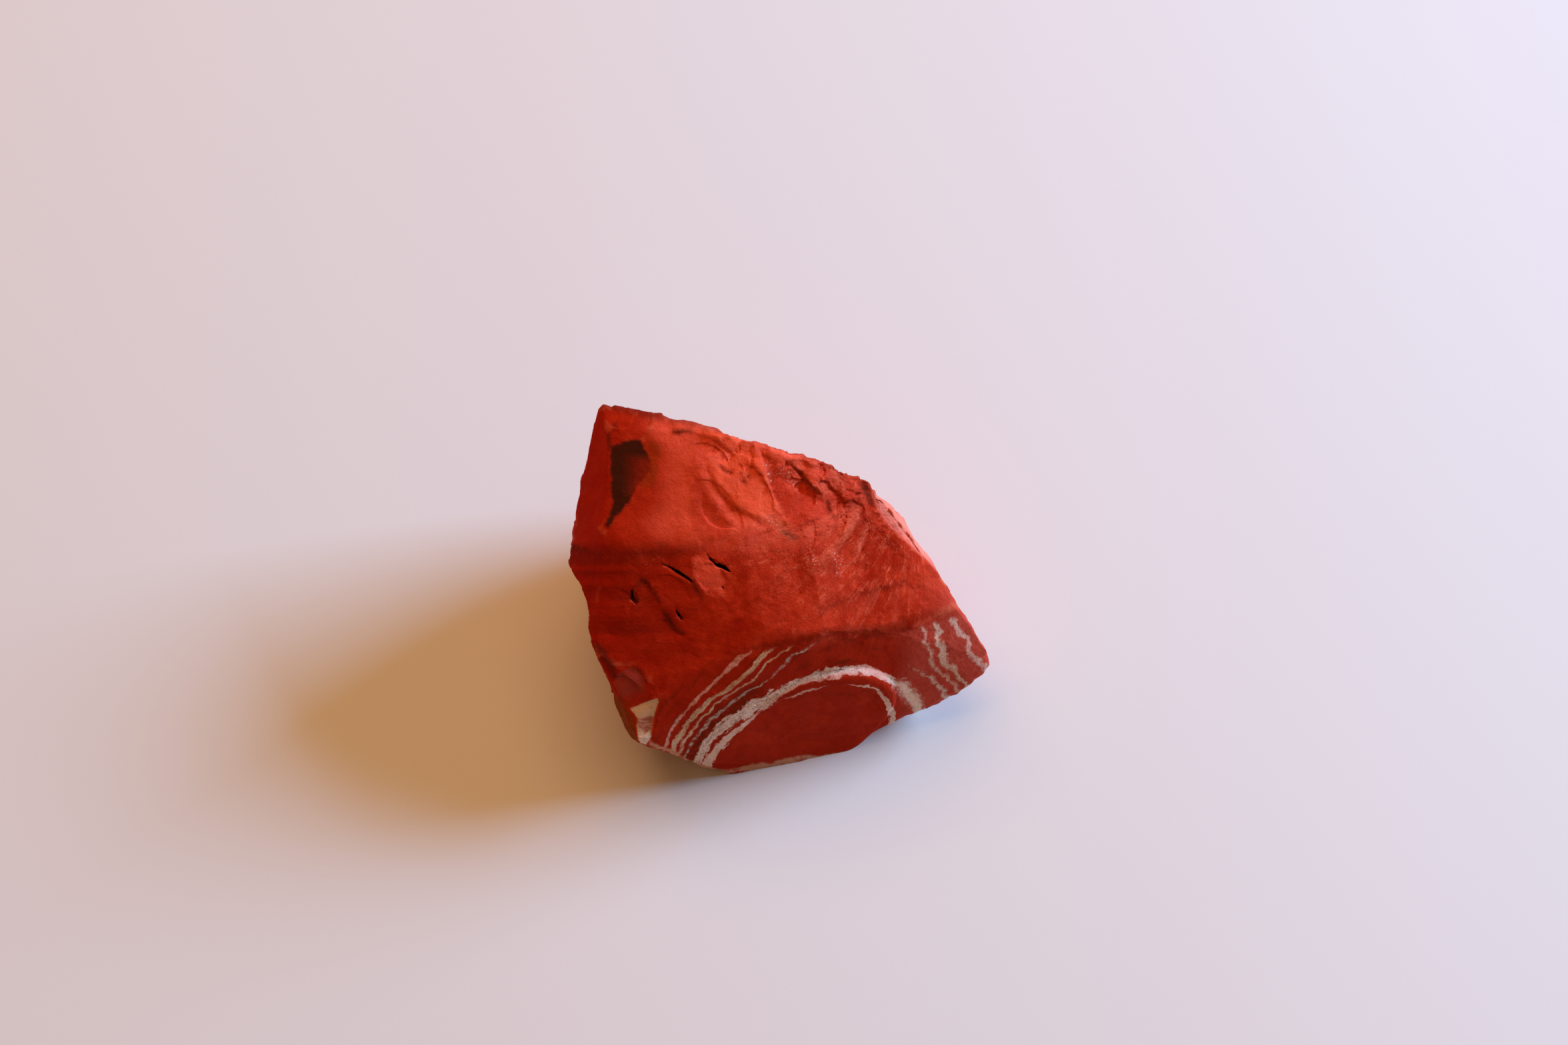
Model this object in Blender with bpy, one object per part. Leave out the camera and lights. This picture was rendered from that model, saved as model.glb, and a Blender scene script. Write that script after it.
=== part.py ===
"""Red jasper: one broken piece of banded red jasper, 64 mm across, lying on a small flat spot.

The block is the convex hull of the corners where its fracture faces meet. The nucleus of the
banding is joined to its front, flake scars, splits and chipped notches are scooped out of it, and
the whole skin is then refined and roughened as a fracture is. Lengths in the tables are in
millimetres, with +X to the right, +Y to the back and +Z up.
"""

import math

import bmesh
import bpy
from mathutils import Matrix, Vector, noise
from mathutils.bvhtree import BVHTree

MM = 0.001
NAME = "red_jasper"

# Where the fracture faces meet: the corners of the block.
TOP_EDGE = [(-27.6, 23.6, 35.6), (-20.8, 22.0, 36.6), (-6.8, 17.2, 37.7), (0.5, 14.3, 37.0),
            (5.6, 13.4, 35.8), (12.5, 12.9, 32.0), (13.4, 11.2, 31.1)]
LEFT_EDGE = [(-28.0, 22.4, 34.0), (-30.1, 15.8, 29.4), (-31.9, 8.6, 26.0), (-32.7, 3.6, 23.5),
             (-30.3, -1.0, 24.6), (-29.0, -4.4, 24.6), (-28.2, -11.4, 22.4)]
STRIP_RIDGE = [(-26.1, 19.4, 36.0), (-25.8, 14.6, 34.4), (-25.9, 9.5, 32.7), (-26.9, 5.4, 31.1)]
CROWN_RIDGE = [(-22.9, 1.6, 30.3), (-13.2, 1.6, 31.2), (-6.5, 1.0, 31.8), (3.0, 3.2, 32.4)]
RIGHT_EDGE = [(15.3, 7.4, 28.6), (18.7, 5.4, 26.2), (21.8, 2.1, 23.9), (24.0, 0.3, 22.2),
              (25.4, -3.1, 20.6), (28.8, -5.2, 15.4), (31.1, -7.5, 11.0), (31.1, -8.7, 8.6)]
FRONT_RIDGE = [(-18.8, -17.5, 19.6), (-11.0, -13.3, 22.9), (-2.6, -9.2, 26.3), (6.2, -9.2, 25.6),
               (12.9, -8.1, 23.4), (17.4, -6.4, 22.4)]
FRONT_FOOT = [(29.4, -9.8, 7.4), (25.3, -11.4, 4.4), (20.4, -13.0, 3.2), (17.2, -13.8, 1.6),
              (13.0, -15.6, 0.0), (7.5, -18.8, 0.0), (2.5, -20.5, 0.0), (-2.7, -21.5, 0.0),
              (-7.2, -21.8, 0.0), (-11.8, -22.2, 1.0), (-15.6, -22.0, 7.0), (-20.2, -22.4, 13.0),
              (-21.5, -22.6, 14.4)]
LEFT_LOW = [(-25.4, -15.8, 19.0), (-25.6, -14.4, 10.0), (-23.0, -20.0, 8.0), (-18.1, -20.4, 5.0),
            (-27.0, 8.0, 6.0), (-29.5, 16.0, 14.0)]
BACK_LOW = [(-24.0, 25.5, 15.0), (-8.0, 26.5, 12.0), (7.0, 21.5, 13.0), (16.6, 14.6, 16.0),
            (18.5, 11.5, 13.0), (20.0, 9.0, 3.0), (25.5, 1.0, 8.0)]
REST_SPOT = [(20.0, -8.0, 0.0), (20.0, 3.0, 0.0), (13.0, 13.0, 0.0), (0.0, 19.0, 0.0),
             (-14.0, 19.0, 0.0), (-23.0, 8.0, 0.0), (-22.0, -8.0, 0.0), (-18.0, -17.0, 0.0)]

# The nucleus: a round-lipped lens that stands proud of the front face, most at its right end.
NUCLEUS_AT = (2.9, -17.6, 7.2)
NUCLEUS_HALF = (15.2, 10.6)
NUCLEUS_THICK = 5.0
NUCLEUS_LIP = 1.3
NUCLEUS_PROUD = 0.15
NUCLEUS_TURN = 20
NUCLEUS_TIP = 4.6

# Blocky knobs along the broken ridge: (a point near the surface, length, width, how far it stands
# out, turn in degrees about the normal there).
KNOBS = [
    ((-4.2, 13.4, 36.2), 8.5, 4.0, 0.3, -18),
    ((1.5, 12.6, 36.0), 5.6, 3.4, 0.4, -50),
    ((5.8, 10.9, 34.8), 7.6, 5.4, 0.5, 12),
    ((10.6, 9.6, 32.4), 5.6, 4.0, 0.6, -35),
    ((12.6, 7.6, 30.6), 5.0, 3.0, 0.45, 50),
    ((11.4, 11.4, 32.4), 5.0, 3.4, 0.6, -30),
    ((8.0, 6.8, 32.0), 4.6, 3.0, 0.25, 5),
    ((0.6, 5.4, 33.0), 4.4, 2.6, 0.3, 60),
]
KNOB_DEEP = 1.3

# The smooth lump on the far wall, behind the end of the ridge.
LUMP_AT = (17.6, 11.8, 21.5)
LUMP_HALF = (5.5, 6.6, 2.6)
LUMP_PROUD = 0.9
LUMP_TURN = -25

# Flake scars: (the middle of the step, its length, the scar's width, the step's height, and the turn
# about the normal there that brings the local +Y to the side where the step rises). All in the
# skin's own plane: the scar is deepest at its step and runs out to nothing at its far side.
FLAKES = [
    ((-7.6, 9.1, 34.6), 11.5, 6.5, 0.55, -33),
    ((-2.0, 10.1, 35.3), 10.5, 5.0, 0.6, -56),
    ((-10.0, 15.9, 36.7), 7.0, 4.2, 0.6, -13),
    ((3.6, 10.4, 35.0), 8.0, 8.0, 0.9, -66),
    ((-11.2, 5.0, 32.7), 8.2, 7.0, 0.5, 153),
    ((9.1, 4.2, 30.4), 7.5, 4.0, 0.4, -161),
    ((11.8, 1.7, 28.2), 11.0, 4.2, 0.4, -160),
    ((4.2, 1.9, 31.3), 7.5, 4.2, 0.4, -149),
    ((-15.6, -2.0, 29.1), 7.5, 5.2, 0.45, -20),
    ((-9.6, -0.7, 30.5), 5.0, 4.0, 0.4, -22),
    ((-22.3, -4.5, 27.0), 4.2, 4.0, 0.4, -58),
    ((-16.5, -8.1, 25.5), 4.6, 4.0, 0.4, -41),
    ((-22.2, -15.3, 20.6), 5.6, 6.0, 0.7, -39),
    ((-19.4, -20.1, 16.9), 7.4, 4.6, 0.7, -107),
    ((8.4, 10.4, 33.4), 7.0, 4.2, 0.6, -86),
    ((-30.0, -2.0, 24.5), 9.0, 3.8, 0.5, -3),
]
# Scoops: (a point near the surface, length, width, depth, turn in degrees about the normal there).
SPLITS = [
    ((-9.5, -0.7, 30.5), 3.8, 0.7, 1.0, -21),
    ((-15.8, -1.4, 29.4), 5.0, 0.6, 1.0, -19),
    ((-22.3, -4.4, 26.9), 2.6, 0.7, 0.9, -55),
    ((-15.5, -6.9, 26.3), 2.0, 0.5, 0.8, -52),
]
WALL_SCARS = [
    ((-31.5, -2.6, 20.0), 12.0, 12.0, 1.9, 0),
    ((-12.0, 26.0, 18.0), 26.0, 16.0, 1.6, 8),
    ((8.0, 21.0, 20.0), 16.0, 12.0, 1.2, -24),
    ((-30.0, 8.0, 12.0), 20.0, 12.0, 1.1, 15),
    ((23.0, 5.0, 12.0), 17.0, 12.0, 1.3, -20),
    ((-25.5, -11.0, 12.0), 13.0, 9.0, 0.8, 30),
]
FLAKE_TALL = 3.0

LONGEST_EDGE = 3.0
REFINE_ROUNDS = 6
# The roughness of the skin: (size of the lumps, how far they move the skin).
WARPS = [(13.0, 0.5), (4.8, 0.3), (2.1, 0.13)]
# Where it is rougher or smoother than that: (middle, reach, factor).
ROUGH = [((7.0, 11.0, 33.5), 8.0, 2.2), ((-6.0, 15.0, 37.0), 6.0, 1.5)]
SMOOTH = [((-20.0, 10.0, 33.5), 10.0, 0.35), ((0.0, -19.0, 8.0), 12.0, 0.5)]
REST_FADE = 2.5
NOISE_SEED = 3


def mm(point):
    return Vector(point) * MM


def new_object(name, bm, collection):
    mesh = bpy.data.meshes.new(name)
    bm.to_mesh(mesh)
    bm.free()
    obj = bpy.data.objects.new(name, mesh)
    collection.objects.link(obj)
    return obj


def new_cutter(name, bm, collection):
    cutter = new_object(name, bm, collection)
    cutter.hide_render = True
    cutter.display_type = "WIRE"
    return cutter


def block():
    """The convex hull of the corners."""
    bm = bmesh.new()
    for corner in (TOP_EDGE + LEFT_EDGE + STRIP_RIDGE + CROWN_RIDGE + RIGHT_EDGE + FRONT_RIDGE
                   + FRONT_FOOT + LEFT_LOW + BACK_LOW + REST_SPOT):
        bm.verts.new(mm(corner))
    bmesh.ops.convex_hull(bm, input=bm.verts[:])
    inside = [v for v in bm.verts if not v.link_faces]
    bmesh.ops.delete(bm, geom=inside, context="VERTS")
    bmesh.ops.recalc_face_normals(bm, faces=bm.faces[:])
    return bm


def surface_frame(skin, point, turn):
    """The place on the skin nearest to a point, and axes there: Z out of the skin, X level, then turned."""
    place, normal, _, _ = skin.find_nearest(mm(point))
    side = Vector((0, 0, 1)).cross(normal)
    side = side.normalized() if side.length > 0.05 else Vector((1, 0, 0))
    axes = Matrix((side, normal.cross(side), normal)).transposed()
    return place, axes @ Matrix.Rotation(math.radians(turn), 3, "Z")


def placed(bm, place, axes, size):
    bm.transform(Matrix.Translation(place) @ axes.to_4x4() @ Matrix.Diagonal((*size, 1)))
    return bm


def nucleus(skin):
    """A disc with a rounded lip, laid into the front face."""
    place, axes = surface_frame(skin, NUCLEUS_AT, NUCLEUS_TURN)
    axes = axes @ Matrix.Rotation(math.radians(-NUCLEUS_TIP), 3, "Y")
    bm = bmesh.new()
    bmesh.ops.create_cone(bm, cap_ends=True, segments=36, radius1=NUCLEUS_HALF[0] * MM,
                          radius2=NUCLEUS_HALF[0] * MM, depth=NUCLEUS_THICK * MM)
    rim = [e for e in bm.edges if all(v.co.z > 0 for v in e.verts) and len(e.link_faces) == 2]
    rim = [e for e in rim if e.calc_face_angle() > 1]
    bmesh.ops.bevel(bm, geom=rim, offset=NUCLEUS_LIP * MM, segments=3, affect="EDGES", profile=0.5)
    depth = NUCLEUS_PROUD - NUCLEUS_THICK / 2
    middle = place + axes @ Vector((0, 0, depth)) * MM
    return placed(bm, middle, axes, (1, NUCLEUS_HALF[1] / NUCLEUS_HALF[0], 1))


def far_lump(skin):
    """A smooth swelling, most of it inside the stone."""
    place, axes = surface_frame(skin, LUMP_AT, LUMP_TURN)
    bm = bmesh.new()
    bmesh.ops.create_uvsphere(bm, u_segments=16, v_segments=8, radius=MM)
    middle = place + axes @ Vector((0, 0, LUMP_PROUD - LUMP_HALF[2])) * MM
    return placed(bm, middle, axes, LUMP_HALF)


def knob(skin, point, length, width, proud, turn):
    """A blocky lump, most of it inside the stone."""
    place, axes = surface_frame(skin, point, turn)
    bm = bmesh.new()
    bmesh.ops.create_icosphere(bm, subdivisions=1, radius=MM)
    middle = place + axes @ Vector((0, 0, proud - KNOB_DEEP)) * MM
    return placed(bm, middle, axes, (length / 2, width / 2, KNOB_DEEP))


def scoop(skin, point, length, width, depth, turn):
    """An ellipsoid that bites a scar of this length, width and depth out of the skin."""
    place, axes = surface_frame(skin, point, turn)
    half_depth = 2.5 * depth
    spread = math.sqrt(1 - ((half_depth - depth) / half_depth) ** 2)
    bm = bmesh.new()
    bmesh.ops.create_uvsphere(bm, u_segments=16, v_segments=12, radius=MM)
    middle = place + axes @ Vector((0, 0, half_depth - depth)) * MM
    return placed(bm, middle, axes, (length / 2 / spread, width / 2 / spread, half_depth))


def flake(skin, point, length, width, step, turn):
    """A tilted oval disc whose flat underside bites a scar that ends in a step of this height."""
    place, axes = surface_frame(skin, point, turn)
    axes = axes @ Matrix.Rotation(-math.atan2(step, width), 3, "X")
    bm = bmesh.new()
    bmesh.ops.create_cone(bm, cap_ends=True, segments=18, radius1=0.92 * MM, radius2=1.08 * MM,
                          depth=FLAKE_TALL * MM)
    middle = place + axes @ Vector((0, -width / 2, FLAKE_TALL / 2 - step / 2)) * MM
    return placed(bm, middle, axes, (length / 2, width / 2, 1))


def ground():
    """Everything under the plane the stone rests on."""
    bm = bmesh.new()
    bmesh.ops.create_cube(bm, size=0.1, matrix=Matrix.Translation((0, 0, -0.05)))
    return bm


def boolean(obj, cutter, operation):
    modifier = obj.modifiers.new(cutter.name, "BOOLEAN")
    modifier.operation = operation
    modifier.solver = "EXACT"
    modifier.object = cutter


def evaluated(obj):
    """The shape after its modifiers, as a bmesh of triangles with no doubled points."""
    bm = bmesh.new()
    bm.from_object(obj, bpy.context.evaluated_depsgraph_get())
    bmesh.ops.remove_doubles(bm, verts=bm.verts[:], dist=0.02 * MM)
    bmesh.ops.dissolve_degenerate(bm, edges=bm.edges[:], dist=0.02 * MM)
    bmesh.ops.triangulate(bm, faces=bm.faces[:])
    return bm


def refine(bm):
    """Halves the long edges, in rounds, and evens out the triangles of each flat face after each round."""
    for _ in range(REFINE_ROUNDS):
        long_edges = [e for e in bm.edges if e.calc_length() > LONGEST_EDGE * MM]
        bmesh.ops.subdivide_edges(bm, edges=long_edges, cuts=1)
        bmesh.ops.triangulate(bm, faces=bm.faces[:])
        flat = [e for e in bm.edges if e.is_manifold and e.calc_face_angle() < 0.01]
        bmesh.ops.beautify_fill(bm, faces=bm.faces[:], edges=flat)


def roughness_at(point):
    """How rough the skin is at a point, against the usual 1."""
    factor = 1.0
    for middle, reach, here in ROUGH + SMOOTH:
        nearness = math.exp(-((point - Vector(middle)).length / reach) ** 2)
        factor += (here - 1) * nearness
    return factor * min(1, max(0, point.z / REST_FADE))


def roughen(bm):
    """Moves the skin by a few octaves of noise, and leaves the flat spot that it rests on."""
    noise.seed_set(NOISE_SEED)
    for vert in bm.verts:
        point = vert.co / MM
        push = Vector()
        for size, reach in WARPS:
            push += noise.noise_vector(point / size + Vector((size, 3.1, 7.7))) * reach
        vert.co += push * roughness_at(point) * MM


def centre(bm):
    """Puts the middle of the box on the Z axis and its lowest points at z = 0."""
    for axis in (0, 1):
        low = min(v.co[axis] for v in bm.verts)
        high = max(v.co[axis] for v in bm.verts)
        bmesh.ops.translate(bm, verts=bm.verts[:], vec=[-(low + high) / 2 * (i == axis) for i in range(3)])


def red_jasper_material():
    material = bpy.data.materials.new("red_jasper")
    material.use_nodes = True
    shader = material.node_tree.nodes["Principled BSDF"]
    shader.inputs["Base Color"].default_value = (0.43, 0.04, 0.018, 1)
    shader.inputs["Roughness"].default_value = 0.62
    shader.inputs["Metallic"].default_value = 0.0
    return material


def main():
    for obj in list(bpy.data.objects):
        bpy.data.objects.remove(obj)
    parts = bpy.data.collections.new(NAME)
    cutters = bpy.data.collections.new("cutters")
    for collection in (parts, cutters):
        bpy.context.scene.collection.children.link(collection)
    bm = block()
    skin = BVHTree.FromBMesh(bm)
    blank = new_cutter("block", bm, cutters)
    lumps = [nucleus(skin), far_lump(skin)] + [knob(skin, *row) for row in KNOBS]
    for number, lump in enumerate(lumps, 1):
        boolean(blank, new_cutter(f"lump_{number}", lump, cutters), "UNION")
    boolean(blank, new_cutter("ground", ground(), cutters), "DIFFERENCE")
    bites = [scoop(skin, *row) for row in WALL_SCARS + SPLITS] + [flake(skin, *row) for row in FLAKES]
    for number, bite in enumerate(bites, 1):
        boolean(blank, new_cutter(f"bite_{number}", bite, cutters), "DIFFERENCE")
    bm = evaluated(blank)
    refine(bm)
    roughen(bm)
    centre(bm)
    stone = new_object(NAME, bm, parts)
    stone.data.materials.append(red_jasper_material())


main()
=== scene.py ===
"""Red jasper: the broken, banded surface of one hand piece of stone, on a pale table."""

from functools import partialmethod, reduce
import math

import bmesh
import bpy
import numpy as np
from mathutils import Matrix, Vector


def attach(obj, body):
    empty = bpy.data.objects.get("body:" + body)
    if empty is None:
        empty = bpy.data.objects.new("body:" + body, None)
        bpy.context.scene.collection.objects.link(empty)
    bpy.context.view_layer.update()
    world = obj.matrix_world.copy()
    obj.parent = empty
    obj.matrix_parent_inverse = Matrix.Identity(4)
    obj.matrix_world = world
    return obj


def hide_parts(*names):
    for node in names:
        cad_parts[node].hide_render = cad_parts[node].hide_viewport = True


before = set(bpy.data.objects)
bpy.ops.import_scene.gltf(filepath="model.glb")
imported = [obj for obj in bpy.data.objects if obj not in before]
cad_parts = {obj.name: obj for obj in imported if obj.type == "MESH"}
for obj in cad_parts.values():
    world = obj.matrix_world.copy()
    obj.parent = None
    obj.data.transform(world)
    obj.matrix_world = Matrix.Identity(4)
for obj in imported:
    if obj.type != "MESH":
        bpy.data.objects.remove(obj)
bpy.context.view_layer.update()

bl_info = {
    "name": "Red jasper",
    "version": (1, 0, 0),
    "blender": (4, 5, 0),
    "location": "View3D > Sidebar > Jasper",
    "description": "Builds the fracture relief, the banding and the table of a piece of red jasper",
    "category": "Object",
}

NODE = "red_jasper"
MM = 0.001
TABLE_REACH = 1.5

# Places on the stone are in millimetres. Markings are laid out on the plane that faces the viewer, as
# (right, up along the tilted plane).
TILT = math.radians(66)
RIGHT = (1.0, 0.0, 0.0)
BACK = (0.0, 1.0, 0.0)
UP = (0.0, 0.0, 1.0)
UP_PLANE = (0.0, math.sin(TILT), math.cos(TILT))
OUT_OF_PLANE = (0.0, -math.cos(TILT), math.sin(TILT))

# White bands: (depth of the layer, the points it runs through with half its width there). A band with no
# width only guides the layers.
BANDS = [
    (0.0, [
        (-16.8, -16.7, 0.22), (-15.5, -13.6, 0.28), (-14.2, -12.2, 0.16), (-12.8, -10.5, 0.24),
        (-10.8, -8.7, 0.3), (-9.8, -7.6, 0.24), (-7.5, -5.3, 0.36), (-5.6, -3.7, 0.4), (-4.1, -2.6, 0.1)
    ]),
    (0.0, [
        (26.7, 0.6, 0.4), (27.4, -0.2, 0.41), (28.8, -1.4, 0.44), (28.7, -3.0, 0.4), (30.6, -4.9, 0.4),
        (31.2, -5.6, 0.3)
    ]),
    (1.8, [
        (-15.8, -17.0, 0.36), (-13.6, -13.7, 0.42), (-12.1, -11.9, 0.4), (-10.2, -10.0, 0.3),
        (-9.1, -9.3, 0.26), (-7.8, -8.6, 0.36), (-6.7, -7.6, 0.26), (-4.3, -5.5, 0.37), (-3.0, -4.1, 0.37),
        (-1.8, -2.8, 0.3), (0.1, -1.9, 0.08)
    ]),
    (1.8, [
        (23.9, 0.0, 0.3), (23.6, -1.0, 0.41), (25.0, -2.9, 0.4), (24.7, -4.2, 0.4), (26.7, -5.9, 0.37),
        (28.1, -7.9, 0.3)
    ]),
    (2.8, [
        (-14.9, -18.0, 0.24), (-13.0, -14.8, 0.18), (-11.0, -12.3, 0.17), (-8.7, -10.2, 0.13),
        (-6.0, -8.3, 0.18), (-4.7, -7.6, 0.11), (-3.0, -6.2, 0.14), (-1.9, -4.7, 0.2), (0.8, -2.7, 0.15),
        (2.0, -1.6, 0.22), (2.7, -1.3, 0.08)
    ]),
    (2.8, [
        (22.1, -0.6, 0.1), (21.8, -1.4, 0.26), (23.0, -3.0, 0.2), (23.0, -4.4, 0.24), (24.5, -6.3, 0.18),
        (26.9, -8.5, 0.2)
    ]),
    (4.0, [
        (-14.2, -18.7, 0.2), (-12.5, -15.9, 0.22), (-10.0, -13.0, 0.31), (-8.3, -11.6, 0.26),
        (-6.9, -10.4, 0.32), (-4.7, -8.8, 0.16), (-2.0, -7.4, 0.14), (0.4, -5.3, 0.2), (2.1, -3.3, 0.3),
        (4.7, -1.9, 0.24), (5.8, -0.9, 0.3), (6.9, -0.3, 0.1), (7.4, -0.1, 0.0), (14.0, -0.9, 0.0)
    ]),
    (4.0, [
        (18.9, -2.6, 0.0), (20.0, -5.5, 0.05), (22.9, -7.0, 0.2), (23.8, -8.1, 0.4), (24.6, -9.1, 0.46)
    ]),
    (6.2, [
        (-12.3, -19.7, 0.5), (-10.7, -16.5, 0.7), (-8.2, -14.2, 0.9), (-5.6, -12.4, 0.82),
        (-2.5, -10.7, 1.0), (0.6, -8.8, 0.74), (3.4, -7.4, 0.53), (6.7, -6.3, 0.9), (9.0, -5.9, 0.9),
        (11.9, -5.6, 0.7), (14.8, -6.4, 0.6), (17.6, -7.9, 0.45), (18.5, -8.3, 0.36), (19.3, -9.2, 0.7),
        (20.8, -11.3, 0.9)
    ]),
    (7.8, [
        (-11.1, -20.7, 0.66), (-8.8, -17.4, 0.66), (-6.4, -15.0, 0.47), (-4.3, -13.3, 0.22),
        (-3.0, -12.3, 0.05), (0.4, -10.4, 0.02), (2.6, -9.4, 0.15), (5.7, -8.5, 0.12), (8.0, -8.0, 0.0),
        (10.4, -7.9, 0.04), (12.5, -8.2, 0.15), (14.0, -8.5, 0.15), (15.3, -9.4, 0.32), (16.6, -11.2, 0.49),
        (17.3, -13.3, 0.5), (17.3, -14.5, 0.4)
    ]),
    (12.0, [(1.0, -15.5, 0.0), (8.0, -14.6, 0.0)]),
    (-3.5, [(-20.4, -9.2, 0.0), (-23.9, -0.3, 0.0)]),
]
WIDEST_BAND = 6.2
FRONT_RIDGE = [
    (-40.0, -15.0), (-19.3, -7.8), (-9.7, -3.8), (-5.1, -2.7), (2.7, -1.9), (9.8, -0.6), (15.2, -0.4),
    (20.0, 0.4), (25.0, 2.0), (27.5, 2.4), (36.0, 5.0)
]
LUMP_EDGE = [
    (12.4, 23.4), (13.6, 22.2), (14.2, 20.8), (14.8, 18.6), (16.3, 16.3), (18.9, 13.8), (22.3, 10.7)
]
RAISED_SCAR = [(-10.3, 24.4), (-8.9, 21.3), (-6.6, 18.8), (-4.3, 17.6), (-2.5, 16.7), (-1.7, 17.3)]
FAR_SCAR = [(-12.4, 29.6), (-10.6, 29.1), (-9.4, 28.7), (-8.2, 27.8), (-7.4, 27.1), (-6.2, 26.0)]
FOOT_LINE = ((18.6, -8.4, 0.0), (20.9, -11.0, 0.0))

# Outlines of the patches of colour: the brown stain and its halo, the pale bloom over the far half, the scar
# like a petal, the raised scar, the clean face beside it, the flake between the splits, the far lump, the
# purple and the ochre faces low on the left, and the pale chip there with its middle.
PATCHES = {
    "spot": [
        (-23.1, 28.6), (-22.0, 28.8), (-20.7, 28.6), (-19.5, 26.5), (-19.0, 25.1), (-19.3, 24.0),
        (-21.0, 21.9), (-21.7, 20.5), (-23.5, 18.0), (-25.5, 15.7), (-25.5, 16.7), (-24.8, 18.7),
        (-25.1, 25.4), (-24.9, 27.8), (-24.0, 28.0)
    ],
    "halo": [
        (-19.9, 28.2), (-18.8, 28.9), (-17.5, 28.2), (-17.5, 26.8), (-17.9, 25.1), (-17.9, 23.3),
        (-18.5, 22.2), (-20.7, 21.5), (-20.2, 22.7), (-19.0, 24.8)
    ],
    "bloom": [
        (-19.2, 31.5), (-18.4, 28.4), (-17.0, 26.6), (-16.8, 22.0), (-17.5, 19.0), (-19.5, 16.6),
        (-18.0, 14.2), (-13.0, 13.2), (-4.0, 12.6), (4.0, 13.4), (12.0, 17.0), (13.5, 22.0), (4.0, 29.0),
        (-8.0, 33.0)
    ],
    "petal": [
        (-13.3, 24.3), (-12.5, 15.4), (-11.2, 14.1), (-9.6, 13.6), (-7.7, 13.9), (-6.8, 15.1), (-6.9, 16.6),
        (-8.5, 18.5), (-10.2, 21.0), (-11.3, 23.5)
    ],
    "plateau": [
        (-10.6, 25.8), (-9.9, 23.1), (-8.9, 21.3), (-7.7, 19.8), (-5.5, 18.0), (-4.3, 17.6), (-3.5, 17.0),
        (-2.5, 16.7), (-0.6, 18.4), (-2.5, 25.5), (-4.0, 27.5), (-5.0, 30.0), (-8.5, 31.0), (-11.5, 30.2),
        (-10.6, 29.1), (-9.4, 28.7), (-8.2, 27.8), (-6.7, 26.4), (-8.0, 25.6), (-9.4, 25.8)
    ],
    "fresh": [
        (0.9, 17.1), (-0.6, 20.5), (-1.5, 23.0), (-1.0, 24.8), (0.5, 24.8), (1.9, 23.6), (3.3, 22.8),
        (4.4, 21.6), (5.6, 20.6), (7.2, 19.8), (7.3, 17.8), (5.5, 16.2), (3.0, 15.4)
    ],
    "flake": [
        (-12.4, 9.0), (-12.6, 11.2), (-10.9, 11.5), (-9.0, 9.8), (-8.0, 7.6), (-8.4, 5.6), (-10.4, 6.2),
        (-11.5, 7.0)
    ],
    "lump": [
        (-6.0, 30.6), (5.0, 27.0), (10.0, 25.1), *LUMP_EDGE, (26.5, 6.4), (45.0, 6.4), (45.0, 45.0),
        (-6.0, 45.0)
    ],
    "purple": [
        (-24.0, -6.2), (-22.7, -5.4), (-21.6, -5.2), (-20.8, -5.8), (-20.1, -7.2), (-20.0, -8.6),
        (-19.6, -10.0), (-20.8, -10.7), (-22.2, -11.2), (-23.1, -10.6), (-24.6, -7.6)
    ],
    "ochre": [
        (-25.0, -9.1), (-25.0, -11.1), (-24.5, -14.7), (-22.8, -17.8), (-21.1, -17.2), (-21.4, -12.9),
        (-22.8, -11.3), (-23.6, -10.0)
    ],
    "cream": [
        (-22.4, -11.4), (-18.3, -9.8), (-17.8, -9.8), (-18.8, -13.1), (-19.2, -16.0), (-19.9, -16.8),
        (-20.9, -17.3), (-21.1, -16.4), (-21.3, -14.0), (-21.1, -12.9), (-21.6, -12.1)
    ],
    "chip_middle": [(-21.4, -13.0), (-18.6, -12.6), (-19.0, -14.7), (-20.1, -15.1), (-20.9, -14.3)],
}
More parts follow.
